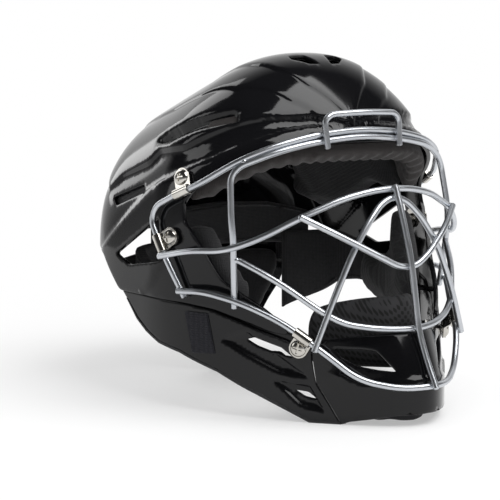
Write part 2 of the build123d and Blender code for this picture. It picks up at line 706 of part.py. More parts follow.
# Elastic straps: two from the plate to the shell's sides, one up to its rear wall
strap_top = 96.0
side_route = [(55.4, 101.9), (67, 93.2), (107.2, 63.6)]
for side_name, side in (("right", -1), ("left", 1)):
    with BuildPart() as side_strap:
        with BuildSketch(Plane.XY.offset(strap_top - strap_width)):
            with BuildLine():
                Polyline(*[(side * x, y) for x, y in side_route])
            trace(line_width=strap_thickness)
        extrude(amount=strap_width)
    keep(side_strap.part, f"side_strap_{side_name}")
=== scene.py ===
# %% [markdown]
# # A catcher's helmet
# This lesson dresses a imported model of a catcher's helmet: a gloss black moulded shell, a cage of
# welded silver wire, nickel clips, webbing and padded lining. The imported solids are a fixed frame.
# Each piece below is made where its solid is, and then rides on the same body as that solid.

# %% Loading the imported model
import json
from itertools import combinations
from math import acos, atan2, cos, pi, radians, sin, sqrt, tan

import bmesh
import bpy
import numpy as np
from mathutils import Matrix, Vector
from mathutils.geometry import delaunay_2d_cdt


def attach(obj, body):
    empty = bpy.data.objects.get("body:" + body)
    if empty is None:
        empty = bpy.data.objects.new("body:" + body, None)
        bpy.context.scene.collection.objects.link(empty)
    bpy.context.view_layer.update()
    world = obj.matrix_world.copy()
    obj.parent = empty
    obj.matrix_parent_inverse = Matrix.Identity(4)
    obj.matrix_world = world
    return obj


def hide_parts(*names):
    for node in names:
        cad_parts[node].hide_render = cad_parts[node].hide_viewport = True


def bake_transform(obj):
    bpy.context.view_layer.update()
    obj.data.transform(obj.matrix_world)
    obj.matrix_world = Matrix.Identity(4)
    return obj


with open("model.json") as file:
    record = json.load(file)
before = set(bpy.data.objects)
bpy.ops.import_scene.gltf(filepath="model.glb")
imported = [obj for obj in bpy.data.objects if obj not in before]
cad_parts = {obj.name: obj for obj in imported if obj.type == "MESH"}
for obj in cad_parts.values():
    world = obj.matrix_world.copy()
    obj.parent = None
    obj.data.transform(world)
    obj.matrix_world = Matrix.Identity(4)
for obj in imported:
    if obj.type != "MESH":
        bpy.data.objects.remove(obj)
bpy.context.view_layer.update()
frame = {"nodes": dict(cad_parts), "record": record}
MM = 0.001


# %% From bmesh to mesh to object
def mesh_of(sheet, name):
    """A mesh with the geometry of a bmesh, which is freed."""
    mesh = bpy.data.meshes.new(name)
    sheet.to_mesh(mesh)
    sheet.free()
    return mesh


def placed(name, data):
    """A new object in the scene."""
    item = bpy.data.objects.new(name, data)
    bpy.context.collection.objects.link(item)
    return item


def changed_mesh(item):
    """A copy of an object's mesh as its modifiers change it."""
    return bpy.data.meshes.new_from_object(item.evaluated_get(bpy.context.evaluated_depsgraph_get()))


def bake(piece):
    """Makes the changes of a piece's modifiers part of its mesh."""
    mesh = changed_mesh(piece)
    piece.modifiers.clear()
    piece.data = mesh
    return mesh


# %% [markdown]
# ## Camera, light and floor
# A product photograph is taken with a long lens, so the near and far sides of the helmet differ
# little in size. The camera stands in front of the wearer's right side, a little above the middle of
# the helmet. The floor and the backdrop are white. Gloss black plastic shows almost nothing of its own
# colour, only what it mirrors, so the soft boxes are as much a part of its look as its material.

# %% Camera
view_direction = Vector((0.5788, 0.8055, -0.127)).normalized()
view_target = Vector((0, 59, 94.5)) * MM
view_distance = 1.2
lens = bpy.data.cameras.new("camera")
lens.lens = 116.64
lens.sensor_width = 36
camera = placed("camera", lens)
camera.location = view_target - view_direction * view_distance
camera.rotation_euler = view_direction.to_track_quat("-Z", "Y").to_euler()
bpy.context.scene.camera = camera
bpy.context.scene.view_settings.view_transform = "Standard"

# %% Lamps
lamp_target = Vector((0, 0, 150)) * MM
for name, place, width, height, power in (
        ("front_box", (250, -640, 1110), 1.1, 0.9, 15),
        ("rear_strip", (-120, 960, 700), 0.3, 1.0, 1.9),
        ("side_box", (-890, 620, 560), 0.35, 0.5, 1.1)):
    lamp = bpy.data.lights.new(name, "AREA")
    lamp.shape = "RECTANGLE"
    lamp.size = width
    lamp.size_y = height
    lamp.energy = power
    holder = placed(name, lamp)
    holder.location = Vector(place) * MM
    holder.rotation_euler = (lamp_target - holder.location).to_track_quat("-Z", "Y").to_euler()


# %% [markdown]
# ## Small helpers for nodes
# The room and every finish below are trees of nodes: coordinates, a pattern, a bump and a shader. The
# coordinates are the object's own, in metres, so a weave of a millimetre has a scale of about a
# thousand. A value that is the same all over a piece is set on the shader itself.


# %% Nodes and their links
def add_node(tree, kind, inputs={}, **settings):
    """A new node, each of its inputs set to a value or linked to the output of another node."""
    node = tree.nodes.new("ShaderNode" + kind)
    for key, value in settings.items():
        setattr(node, key, value)
    for key, value in inputs.items():
        if isinstance(value, bpy.types.NodeSocket):
            tree.links.new(value, node.inputs[key])
        else:
            node.inputs[key].default_value = value
    return node


def calculated(tree, operation, *values):
    return add_node(tree, "Math", dict(enumerate(values)), operation=operation).outputs[0]


def noise(tree, place, scale, detail=3.0):
    return add_node(tree, "TexNoise", {"Vector": place, "Scale": scale, "Detail": detail}).outputs["Fac"]


def two_colors(tree, value, dark, light, start=0.0, stop=1.0):
    ramp = add_node(tree, "ValToRGB", {"Fac": value})
    for stage, position, color in zip(ramp.color_ramp.elements, (start, stop), (dark, light)):
        stage.position = position
        stage.color = (*color, 1)
    return ramp.outputs["Color"]


# %% [markdown]
# ## The room
# The room lights the helmet evenly, and the camera sees it white. A mirrored ray sees it darker, with
# the floor's light low down and the bright backdrop behind the helmet, because a gloss black piece in
# an evenly white room would look grey.

# %% World
world = bpy.data.worlds.new("studio")
bpy.context.scene.world = world
world.use_nodes = True
tree = world.node_tree
tree.nodes.clear()
direction = add_node(tree, "TexCoord").outputs["Generated"]
height = add_node(tree, "SeparateXYZ", {"Vector": direction}).outputs["Z"]
floor_light = two_colors(tree, height, (0.38, 0.38, 0.40), (0.03, 0.03, 0.032), 0.0, 0.3)
towards_backdrop = add_node(
    tree, "VectorMath", {0: direction, 1: (0.58, 0.8, 0.1)}, operation="DOT_PRODUCT").outputs["Value"]
backdrop = add_node(
    tree, "MapRange", {"Value": towards_backdrop, "From Min": 0.45, "From Max": 0.8, "To Max": 0.9})
brightest = calculated(tree, "MAXIMUM", floor_light, backdrop.outputs["Result"])
even_room = add_node(tree, "Background", {"Color": (1, 1, 1, 1), "Strength": 0.55}).outputs[0]
mirrored_room = add_node(tree, "Background", {"Color": brightest}).outputs[0]
white_room = add_node(tree, "Background", {"Color": (1, 1, 1, 1)}).outputs[0]
seen_by = add_node(tree, "LightPath").outputs
unseen_room = add_node(
    tree, "MixShader", {"Fac": seen_by["Is Glossy Ray"], 1: even_room, 2: mirrored_room})
room = add_node(
    tree, "MixShader", {"Fac": seen_by["Is Camera Ray"], 1: unseen_room.outputs[0], 2: white_room})
add_node(tree, "OutputWorld", {"Surface": room.outputs[0]})

# %% Floor
floor_sheet = bmesh.new()
bmesh.ops.create_grid(floor_sheet, x_segments=2, y_segments=2, size=6)
floor = placed("floor", mesh_of(floor_sheet, "floor"))

# %% [markdown]
# ## Finishes
# Moulded ABS with a gloss top coat has a faint waviness, called orange peel, and hazy patches where
# it has been handled. Powder coated wire is satin. Nickel plate is brighter and warmer. The lining is
# brushed or knitted cloth, the chin cushion a spacer mesh with open cells, the straps a plain weave.


# %% Starting a finish
def start_finish(name, color, roughness, metallic=0.0):
    finish = bpy.data.materials.new(name)
    finish.use_nodes = True
    tree = finish.node_tree
    tree.nodes.clear()
    shader = add_node(tree, "BsdfPrincipled", {
        "Base Color": (*color, 1), "Roughness": roughness, "Metallic": metallic})
    add_node(tree, "OutputMaterial", {"Surface": shader.outputs["BSDF"]})
    return finish, tree, shader, add_node(tree, "TexCoord").outputs["Object"]


def tinted(tree, shader, value, dark, light, start=0.0, stop=1.0):
    tree.links.new(two_colors(tree, value, dark, light, start, stop), shader.inputs["Base Color"])


def hazed(tree, shader, value, low, high):
    """Roughness that goes from low to high with a value."""
    haze = add_node(tree, "MapRange", {"Value": value, "To Min": low, "To Max": high})
    tree.links.new(haze.outputs["Result"], shader.inputs["Roughness"])


def bumped(tree, shader, value, strength, distance, edge_radius=0.0):
    """A bump, laid on normals that turn smoothly round each sharp edge where edge_radius is given."""
    bump = add_node(tree, "Bump", {"Strength": strength, "Distance": distance, "Height": value})
    if edge_radius:
        rounding = add_node(tree, "Bevel", {"Radius": edge_radius}, samples=4)
        tree.links.new(rounding.outputs["Normal"], bump.inputs["Normal"])
    tree.links.new(bump.outputs["Normal"], shader.inputs["Normal"])


# %% [markdown]
# The floor glows white to the camera, in mirrors and through gaps, so that it melts into the backdrop.
# Near the helmet less of it glows, and the soft shadow shows there.

# %% White floor
shadow_edge, white_edge, shadow_glow = 0.15, 0.55, 0.4
floor_finish, tree, shader, place = start_finish("floor_white", (0.92, 0.92, 0.92), 0.6)
tinted(tree, shader, noise(tree, place, 3), (0.90, 0.90, 0.90), (0.93, 0.93, 0.93))
seen_by = add_node(tree, "LightPath").outputs
white_ray = seen_by["Is Camera Ray"]
for kind in ("Is Glossy Ray", "Is Transmission Ray"):
    white_ray = calculated(tree, "MAXIMUM", white_ray, seen_by[kind])
away = add_node(tree, "VectorMath", {0: place}, operation="LENGTH").outputs["Value"]
fading = add_node(tree, "MapRange", {
    "Value": away, "From Min": shadow_edge, "From Max": white_edge, "To Min": shadow_glow},
    interpolation_type="SMOOTHSTEP").outputs["Result"]
glow = add_node(tree, "Emission", {"Strength": 1.0}).outputs["Emission"]
white = add_node(tree, "MixShader", {
    "Fac": calculated(tree, "MULTIPLY", white_ray, fading), 1: shader.outputs["BSDF"], 2: glow})
floor_output = next(node for node in tree.nodes if node.type == "OUTPUT_MATERIAL")
tree.links.new(white.outputs["Shader"], floor_output.inputs["Surface"])
floor.data.materials.append(floor_finish)


# %% Gloss plastic
def gloss_finish(name, haze_low, haze_high):
    finish, tree, shader, place = start_finish(name, (0.006, 0.006, 0.007), haze_low)
    shader.inputs["Specular IOR Level"].default_value = 0.32
    hazed(tree, shader, noise(tree, place, 22, 4), haze_low, haze_high)
    tinted(tree, shader, noise(tree, place, 9), (0.003, 0.003, 0.0035), (0.006, 0.006, 0.007), 0.3, 0.7)
    bumped(tree, shader, noise(tree, place, 160, 2), 0.05, 0.0002, 0.0007)
    return finish


shell_finish = gloss_finish("shell_gloss_black", 0.05, 0.12)
jaw_finish = gloss_finish("jaw_gloss_black", 0.10, 0.18)


# %% Metals
def metal_finish(name, color, roughness, haze, tint, grain):
    """Haze is a scale and two levels, tint a scale and two colours, grain a scale, detail and depth."""
    finish, tree, shader, place = start_finish(name, color, roughness, 1.0)
    hazed(tree, shader, noise(tree, place, haze[0], 4), *haze[1:])
    tinted(tree, shader, noise(tree, place, tint[0]), *tint[1:], 0.3, 0.7)
    bumped(tree, shader, noise(tree, place, *grain[:2]), grain[2], 0.0001)
    return finish


wire_finish = metal_finish(
    "wire_satin_silver", (0.58, 0.60, 0.63), 0.28, (60, 0.24, 0.36),
    (35, (0.50, 0.52, 0.55), (0.62, 0.64, 0.67)), (1500, 2, 0.15))
nickel_finish = metal_finish(
    "nickel_plate", (0.58, 0.56, 0.52), 0.15, (120, 0.10, 0.20),
    (80, (0.50, 0.48, 0.44), (0.64, 0.62, 0.58)), (700, 3, 0.1))


# %% Rubber and foam
def foam_finish(name, color, roughness, grain, strength):
    finish, tree, shader, place = start_finish(name, color, roughness)
    pores = noise(tree, place, grain, 5)
    tinted(tree, shader, pores, color, [value * 1.6 for value in color], 0.35, 0.7)
    bumped(tree, shader, pores, strength, 0.0004)
    return finish


rubber_finish = foam_finish("rubber_trim", (0.012, 0.012, 0.013), 0.5, 900, 0.2)
cup_finish = foam_finish("moulded_foam", (0.010, 0.010, 0.012), 0.75, 700, 0.5)


# %% Cloths
def cloth_finish(name, dark, light, pitch, strength, sheen):
    """Brushed or knitted cloth: two crossed waves make the stitches, and noise makes them uneven."""
    finish, tree, shader, place = start_finish(name, dark, 0.9)
    shader.inputs["Sheen Weight"].default_value = sheen
    shader.inputs["Sheen Roughness"].default_value = 0.5
    ribs = [add_node(tree, "TexWave", {
        "Vector": place, "Scale": 0.32 / pitch, "Distortion": 1.5, "Detail Scale": 3},
        bands_direction=axis).outputs["Fac"] for axis in ("X", "Z")]
    nap = calculated(tree, "ADD", calculated(tree, "MULTIPLY", *ribs), noise(tree, place, 400, 6))
    tinted(tree, shader, nap, dark, light, 0.3, 1.4)
    bumped(tree, shader, nap, strength, 0.0005)
    return finish


suede_finish = cloth_finish(
    "brushed_lining", (0.017, 0.014, 0.0135), (0.034, 0.029, 0.028), 0.0009, 0.35, 0.15)
knit_finish = cloth_finish(
    "knitted_lining", (0.008, 0.008, 0.009), (0.022, 0.022, 0.024), 0.0011, 0.5, 0.15)
webbing_finish = cloth_finish(
    "woven_webbing", (0.004, 0.004, 0.007), (0.011, 0.011, 0.017), 0.0016, 0.8, 0.05)
elastic_finish = cloth_finish(
    "woven_elastic", (0.010, 0.010, 0.011), (0.030, 0.030, 0.033), 0.0013, 0.8, 0.15)

# %% Spacer mesh
cell_pitch = 0.0048
mesh_finish, tree, shader, place = start_finish("spacer_mesh", (0.012, 0.012, 0.013), 0.8)
axes = add_node(tree, "SeparateXYZ", {"Vector": place}).outputs
slant = calculated(tree, "SUBTRACT", axes["Z"], axes["Y"])
rows = [calculated(tree, "SINE", calculated(tree, "MULTIPLY", along, 2 * pi / cell_pitch))
        for along in (axes["X"], slant)]
cells = calculated(tree, "MULTIPLY", *rows)
# The cells are the mesh's own pattern, and the bump presses them in; painting them near black is painted
# shade inside the open cells.
tinted(tree, shader, cells, (0.020, 0.020, 0.022), (0.001, 0.001, 0.001), 0.05, 0.3)
bumped(tree, shader, cells, -0.8, 0.0008)

# %% [markdown]
# ## Finishing a piece
# A bmesh becomes an object here, shaded smooth, with its creases kept sharp by angle. A piece that
# stands for a solid rides on the body that its solid belongs to.


# %% From bmesh to piece
def body_of_node(node):
    return next(name for name, held in frame["record"]["behaviour"]["bodies"].items() if node in held)


def slot_of_node(node):
    return next(s["material_slot"] for s in frame["record"]["subparts"] if s["node"] == node)


def finish_piece(sheet, name, finish, nodes_replaced, crease=35, scale=MM):
    """Turns a bmesh (mm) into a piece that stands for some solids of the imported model."""
    if scale != 1:
        bmesh.ops.scale(sheet, vec=(scale, scale, scale), verts=sheet.verts)
    mesh = mesh_of(sheet, name)
    mesh.materials.append(finish)
    mesh.shade_smooth()
    mesh.set_sharp_from_angle(angle=radians(crease))
    piece = placed(name, mesh)
    if nodes_replaced:
        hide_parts(*nodes_replaced)
        slot_of_node(nodes_replaced[0])
        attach(piece, body_of_node(nodes_replaced[0]))
    return piece


# %% [markdown]
# ## The skull shell
# The shell is a long round dome with flattened sides, thrown back by the angle at which the helmet
# stands. A superellipsoid gives that dome. Its rim, its holes and the lines of its raised panels are
# laid out flat, in the two angles of the dome. Blender's own Delaunay fill then joins them with even
# triangles, so every edge of the mould is an edge of the mesh, and only then is the flat sheet bent
# onto the dome. Last, each point is lifted or sunk a little by the panels and scoops that it lies in.

# %% Shape of the dome
half_width, half_height, front_reach, rear_reach = 112.5, 139.0, 127.0, 79.0
dome_middle, rake, roundness, squareness = Vector((0, 32.4, 82)), radians(22.4), 2.25, 4.8
shell_wall = 3.2
turn_size, sweep_size = 1.9, 2.1
taper_start, taper_high, taper_more_low = 18, 2.8e-4, 0.9e-4


def unit_curve(angle, power):
    return (abs(cos(angle)) ** power + abs(sin(angle)) ** power) ** (-1 / power)


def dome_point(turn, sweep):
    """A point of the outer skull, from angles in degrees round the head and from the face back."""
    side, rear = radians(turn), radians(sweep)
    spread, ring = unit_curve(rear, squareness), unit_curve(side, roundness)
    x = half_width * spread * sin(rear) * ring * sin(side)
    y = -(front_reach if sweep < 90 else rear_reach) * spread * cos(rear)
    z = half_height * spread * sin(rear) * ring * cos(side)
    point = dome_middle + Vector((x, y * cos(rake) + z * sin(rake), z * cos(rake) - y * sin(rake)))
    low = min(1, max(0, (140 - point.z) / 50))
    taper = taper_high + taper_more_low * low * low * (3 - 2 * low)
    point.x *= 1 - taper * max(0, taper_start - point.y) ** 1.5
    return point


def from_flat(flat):
    """The point of the dome under a point of the flat layout."""
    return dome_point(flat[0] / turn_size, flat[1] / sweep_size)


# %% From a view back to the flat layout
VIEWS = {"side": (1, 2), "top": (0, 1)}


def seen(point, view):
    """The two coordinates of a point in one view."""
    across, up = VIEWS[view]
    return Vector((point[across], point[up]))


def flat_from_view(target, view, start):
    """Newton's method: where the dome, seen in a view, has this point. None if it has not."""
    flat, nudge = Vector(start), 0.5
    for _ in range(25):
        here = seen(from_flat(flat), view)
        miss = Vector(target) - here
        if miss.length < 0.01:
            return flat
        across = (seen(from_flat(flat + Vector((nudge, 0))), view) - here) / nudge
        along = (seen(from_flat(flat + Vector((0, nudge))), view) - here) / nudge
        area = across.cross(along)
        if abs(area) < 1e-4:
            return None
        step = Vector((miss.cross(along), across.cross(miss))) / area
        flat += step * min(1, 12 / max(step.length, 1e-9))
        if abs(flat.x) > 250 or not 8 < flat.y < 370:
            return None
    return None


def stations(line, pitch, closed=True):
    """Points along a line of straight runs, its corners among them."""
    points = []
    ends = line[1:] + line[:1] if closed else line[1:]
    for first, second in zip(line, ends):
        first, second = Vector(first), Vector(second)
        count = max(1, round((second - first).length / pitch))
        points += [first.lerp(second, step / count) for step in range(count)]
    return points if closed else points + [Vector(line[-1])]


def rounded_outline(outline, radius, pieces=3):
    """The outline with each corner cut into a few short edges."""
    rounded = []
    for ahead, corner, behind in zip(outline[1:] + outline[:1], outline, outline[-1:] + outline):
        here = Vector(corner)
        before, after = Vector(behind) - here, Vector(ahead) - here
        start = here + before.normalized() * min(radius, before.length * 0.45)
        end = here + after.normalized() * min(radius, after.length * 0.45)
        for step in range(pieces + 1):
            t = step / pieces
            point = start * (1 - t) ** 2 + here * 2 * t * (1 - t) + end * t * t
            rounded.append((point.x, point.y))
    return rounded


def signed_distances(places, outline):
    """How far each place is inside an outline, or a negative distance if it is outside."""
    px, py = places.T
    inside, nearest = np.zeros(len(places), bool), np.full(len(places), 1e9)
    for (ax, ay), (bx, by) in zip(outline, outline[1:] + outline[:1]):
        dx, dy = bx - ax, by - ay
        along = np.clip(((px - ax) * dx + (py - ay) * dy) / (dx * dx + dy * dy), 0, 1)
        nearest = np.minimum(nearest, (px - ax - along * dx) ** 2 + (py - ay - along * dy) ** 2)
        if dy:
            inside ^= ((ay > py) != (by > py)) & (px < ax + (py - ay) / dy * dx)
    return np.where(inside, 1, -1) * np.sqrt(nearest)


def steps(distances, width):
    """0 outside a step, 1 inside it, and a smooth slope across its width."""
    share = np.clip(distances / width + 0.5, 0, 1)
    return share * share * (3 - 2 * share)


def beside(outline, offset):
    """Points of an outline moved sideways, inwards where offset is above 0 on a left-hand outline."""
    moved = []
    for ahead, (x, y), behind in zip(outline[1:] + outline[:1], outline, outline[-1:] + outline):
        run = (Vector(ahead) - Vector(behind)).normalized()
        moved.append((x - run.y * offset, y + run.x * offset))
    return moved


def slope_lines(outline, width):
    """Lines along a slope of this width, from its foot to its top."""
    return [beside(outline, offset * width) for offset in (-0.5, -0.17, 0.17, 0.5)]


# %% Filling a flat outline
def spread_out(first, more, gap):
    """Those of more that lie no nearer than gap to any of first, or to one another."""
    cells, kept = {}, []
    for point in first:
        cells.setdefault((int(point.x // gap), int(point.y // gap)), []).append(point)
    for point in more:
        column, row = int(point.x // gap), int(point.y // gap)
        around = [(column + i, row + j) for i in (-1, 0, 1) for j in (-1, 0, 1)]
        if all((point - other).length >= gap for cell in around for other in cells.get(cell, ())):
            cells.setdefault((column, row), []).append(point)
            kept.append(point)
    return kept


def turned_left(loop):
    area = sum(a.cross(b) for a, b in zip(loop, loop[1:] + loop[:1]))
    return loop if area > 0 else loop[::-1]


def filled_sheet(rim, holes, guides, pitch):
    """A flat sheet of even triangles between a rim and its holes, with points along the guides."""
    points, loops = [], []
    for loop in [rim] + holes:
        loop = turned_left(loop)
        loops.append(list(range(len(points), len(points) + len(loop))))
        points += loop
    inner = spread_out(points, [point for guide in guides for point in guide], pitch * 0.4)
    row_height = pitch * sqrt(3) / 2
    left, low = np.min(rim, axis=0)
    columns, rows = (np.max(rim, axis=0) - (left, low)) / (pitch, row_height)
    even = [Vector((left + (step + row % 2 / 2) * pitch, low + row * row_height))
            for row in range(int(rows) + 1) for step in range(int(columns) + 1)]
    inner += spread_out(points + inner, even, pitch * 0.7)
    filled = delaunay_2d_cdt(points + inner, [], loops, 0, 1e-5)
    sheet = bmesh.new()
    corners = [sheet.verts.new((place.x, place.y, 0)) for place in filled[0]]
    for face, held_by in zip(filled[2], filled[5]):
        if held_by == [0]:
            sheet.faces.new([corners[index] for index in face])
    loose = [corner for corner in sheet.verts if not corner.link_faces]
    bmesh.ops.delete(sheet, geom=loose, context="VERTS")
    return sheet


def facing_out(sheet, outwards):
    """Turns an open sheet's faces so that the one furthest that way faces that way."""
    bmesh.ops.recalc_face_normals(sheet, faces=sheet.faces)
    far_face = max(sheet.faces, key=lambda face: face.calc_center_median().dot(outwards))
    if far_face.normal.dot(outwards) < 0:
        bmesh.ops.reverse_faces(sheet, faces=sheet.faces)


def walled(piece, thickness, edge_radius=0.6):
    """Gives a sheet its wall, inwards from its outer face, and rounds the edges of its rim."""
    wall = piece.modifiers.new("wall", "SOLIDIFY")
    wall.thickness = thickness * MM
    wall.offset = -1
    wall.use_quality_normals = True
    faces_before = len(piece.data.polygons)
    mesh = bake(piece)
    shell = bmesh.new()
    shell.from_mesh(mesh)
    rim_faces = {face for face in shell.faces if face.index >= 2 * faces_before}
    edges = [edge for edge in shell.edges if sum(face in rim_faces for face in edge.link_faces) == 1]
    rounded = bmesh.ops.bevel(
        shell, geom=edges, offset=edge_radius * MM, segments=2, profile=0.5, affect="EDGES",
        clamp_overlap=False, material=-1)
    edge_faces = {face for face in rim_faces | set(rounded["faces"]) if face.is_valid}
    for edge in shell.edges:
        at_rim = any(face in edge_faces for face in edge.link_faces)
        edge.smooth = not (at_rim and edge.calc_face_angle(0) > radians(28))
    shell.to_mesh(mesh)
    shell.free()


# %% Outlines of the mould
seam_line = [(58, 75), (23, 75), (-11, 74), (-33, 71), (-52, 64), (-66, 58), (-79, 52.5)]
shell_outline = [(170, 270), (170, 107), (135, 107), (112, 103), (86, 98)] + seam_line[:-1] + [
    (-76, 57), (-72, 65), (-62, 75), (-49, 84), (-38, 92), (-27, 111), (-13, 129), (-11, 141),
    (-17, 149.5), (-40, 164.5), (-60, 178.5), (-66, 180), (-160, 180), (-160, 270)]
ear_window = [(65, 100), (11, 130), (4, 101), (46, 94)]
rear_vent = [(88, 137), (78, 132), (38, 145), (44, 150)]
side_scoop = [(42, 178), (23, 180), (-4, 190), (-31, 196), (-27, 202), (3, 195), (30, 185)]
side_rib = [
    (120, 260), (120, 150), (100, 141), (80, 153), (45, 164), (33, 173), (1, 177), (-11, 183),
    (-32, 193), (-46, 198), (-90, 198), (-90, 260)]
rim_band = [
    (92, 100), (32, 148), (-1, 162), (-27, 173), (-49, 186), (-58, 193), (-90, 193), (-90, 170),
    (-10, 120), (20, 80), (60, 60)]


def both_halves(half):
    return half + [(-x, other) for x, other in reversed(half) if x]


crown_panel = both_halves([
    (0, -60), (26, -42), (39, -24), (44, -3), (43, 14), (38, 60), (30, 100), (24, 150), (0, 150)])
upper_rib = both_halves([
    (0, -60), (26, -56), (43, -46), (55, -32), (66, -16), (71, 19), (69, 55), (62, 90), (44, 150),
    (0, 150)])
crown_vent = [(5, -29), (13, -28), (22, -20), (20, -14), (9, -16)]

# %% Laying the shell out flat
sample_flats = [Vector((turn * turn_size, sweep * sweep_size))
                for turn in range(0, 126, 5) for sweep in range(10, 178, 5)]
sample_points = [(flat, from_flat(flat)) for flat in sample_flats]


def flat_line(line, view, pitch, closed=True):
    """A line drawn in a view, as stations of the flat layout on the half with x above 0."""
    laid, usable = [], [pair for pair in sample_points if view == "side" or pair[1].z > 120]
    for place in stations(line, pitch, closed):
        start = min(usable, key=lambda pair: (seen(pair[1], view) - place).length_squared)[0]
        flat = flat_from_view(place, view, start)
        if flat is not None and flat.x > -0.01:
            laid.append(flat)
    return laid


def halved(near, far, is_near):
    """The value between near and far where is_near stops being true, found by halving."""
    for _ in range(30):
        middle = (near + far) / 2
        near, far = (middle, far) if is_near(middle) else (near, middle)
    return middle


def flat_at_height(turn, height, front):
    """The station of the flat layout at this turn where the dome has this height."""
    sweep = halved(9 if front else 176, 90, lambda middle: dome_point(turn, middle).z < height)
    return Vector((turn * turn_size, sweep * sweep_size))


def other_side(half):
    return [Vector((-flat.x, flat.y)) for flat in half]


rim_pitch, fill_pitch, panel_pitch = 1.7, 1.9, 1.3
rear_edge_height, brow_edge_height = 107, 180
side_rim = flat_line(rounded_outline(shell_outline, 4)[8:-8], "side", rim_pitch, False)
rear_turn, brow_turn = side_rim[0].x / turn_size, side_rim[-1].x / turn_size
rear_rim = [flat_at_height(rear_turn * step / 32, rear_edge_height, False) for step in range(32)]
brow_rim = [flat_at_height(brow_turn * step / 28, brow_edge_height, True) for step in range(27, -1, -1)]
half_rim = rear_rim + side_rim + brow_rim
shell_rim = half_rim + other_side(flat for flat in reversed(half_rim) if flat.x > 0.01)
shell_holes = []
for hole, view, radius in ((ear_window, "side", 3), (rear_vent, "side", 2), (crown_vent, "top", 1.5)):
    half = flat_line(rounded_outline(hole, radius), view, panel_pitch)
    shell_holes += [half, other_side(half)]

# %% [markdown]
# Each panel is given as a view, an outline, its rise and the width of its slope. Guides are lines of
# points along every slope, so that the mesh is fine where the surface bends.

# %% Moulding the shell
panels = [
    ("side", side_rib, 1.2, 3.6), ("top", upper_rib, 2.4, 4.4), ("top", crown_panel, 3.7, 4.0),
    ("side", rim_band, 1.2, 2.4)]
scoop_depth, scoop_slope, dip_depth, top_sink = 5.6, 3.4, 1.9, 3.0
dip_height, dip_blend, top_height, top_blend = 150, 40, 205, 50
guides = []
for offset in (-0.5, 0.17, -0.17, 0.5, 0, -0.33, 0.33):
    for view, outline, _, width in panels + [("side", side_scoop, scoop_depth, scoop_slope)]:
        half = flat_line(beside(outline, offset * width), view, panel_pitch)
        guides += [half, other_side(half)]
for height, width in ((193, 2.4), (198, 4.0)):
    for offset in (-0.5, -0.17, 0.17, 0.5):
        across_brow = [flat_at_height(turn, height + offset * width, True)
                       for turn in np.arange(0, 52, 0.6)]
        guides += [across_brow, other_side(across_brow)]
dome = filled_sheet(shell_rim, shell_holes, guides, fill_pitch)


def bent_dome(sheet):
    """Bends the flat sheet onto the dome, and gives its points and outward directions."""
    points, outwards = [], []
    for corner in sheet.verts:
        flat = corner.co.xy
        point = from_flat(flat)
        across, along = (from_flat(flat + Vector(step)) - point for step in ((0.3, 0), (0, 0.3)))
        outward = across.cross(along).normalized()
        outwards.append(outward if outward.dot(point - dome_middle) > 0 else -outward)
        points.append(point)
    return np.array(points), np.array(outwards)


places, outwards = bent_dome(dome)
dip = -dip_depth * steps(places[:, 2] - dip_height, dip_blend)
lift = dip
for view, outline, rise, width in panels:
    distances = signed_distances(places[:, VIEWS[view]], outline)
    share = steps(distances, width) * (places[:, 2] > (0 if view == "side" else 130))
    lift = np.maximum(lift, dip + (rise - dip) * share)
scoop = steps(signed_distances(places[:, VIEWS["side"]], side_scoop), scoop_slope)
lift = lift * (1 - scoop) - scoop_depth * scoop - top_sink * steps(places[:, 2] - top_height, top_blend)
dome.verts.index_update()
ends = np.array([[corner.index for corner in edge.verts] for edge in dome.edges])
ends = np.concatenate([ends, ends[:, ::-1]])
neighbours = np.bincount(ends[:, 0], minlength=len(lift))
for turn in range(2):
    lift = (lift + np.bincount(ends[:, 0], lift[ends[:, 1]], len(lift)) / neighbours) / 2
for corner, place in zip(dome.verts, places + outwards * lift[:, None]):
    corner.co = place
facing_out(dome, Vector((0, 0, 1)))
shell_piece = finish_piece(dome, "skull_moulding", shell_finish, ["skull_shell"], 28)
walled(shell_piece, shell_wall)

# %% [markdown]
# ## Jaw panels and chin guard
# These are bent from flat: seen from above they follow one plan curve, a blunt nose with straight
# cheeks. A flat sheet is filled between its outlines as before and rolled along that curve. The vents
# are pressed in, so their floor is lower than the panel, with a hole in it.

# %% Plan of the jaw
nose_y, nose_radius, cheek_slope = -138.0, 25.0, 1.317
jaw_sides = [(95, -37), (103, -20), (109, 0), (111.6, 19), (111.8, 45), (111.5, 90)]


def plan_y(x):
    return nose_y + cheek_slope * (sqrt(x * x + nose_radius ** 2) - nose_radius)


def smooth_along(points, share):
    """A point at a share of the way along a smooth line through these points."""
    place = min(share, 0.99999) * (len(points) - 1)
    index = int(place)
    t = place - index
    p0, p1 = points[max(0, index - 1)], points[index]
    p2, p3 = points[index + 1], points[min(len(points) - 1, index + 2)]
    return 0.5 * (2 * p1 + (p2 - p0) * t + (2 * p0 - 5 * p1 + 4 * p2 - p3) * t * t
                  + (3 * p1 - p0 - 3 * p2 + p3) * t ** 3)


plan_ends = [Vector((x, plan_y(x))) for x in (0, 9, 18, 28, 40, 55, 70, 85)]
plan_ends += [Vector(end) for end in jaw_sides]
plan_line = [smooth_along(plan_ends, step / 400) for step in range(401)]
plan_runs = [0.0]
for first, second in zip(plan_line, plan_line[1:]):
    plan_runs.append(plan_runs[-1] + (second - first).length)
plan_x, plan_depth = zip(*plan_line)

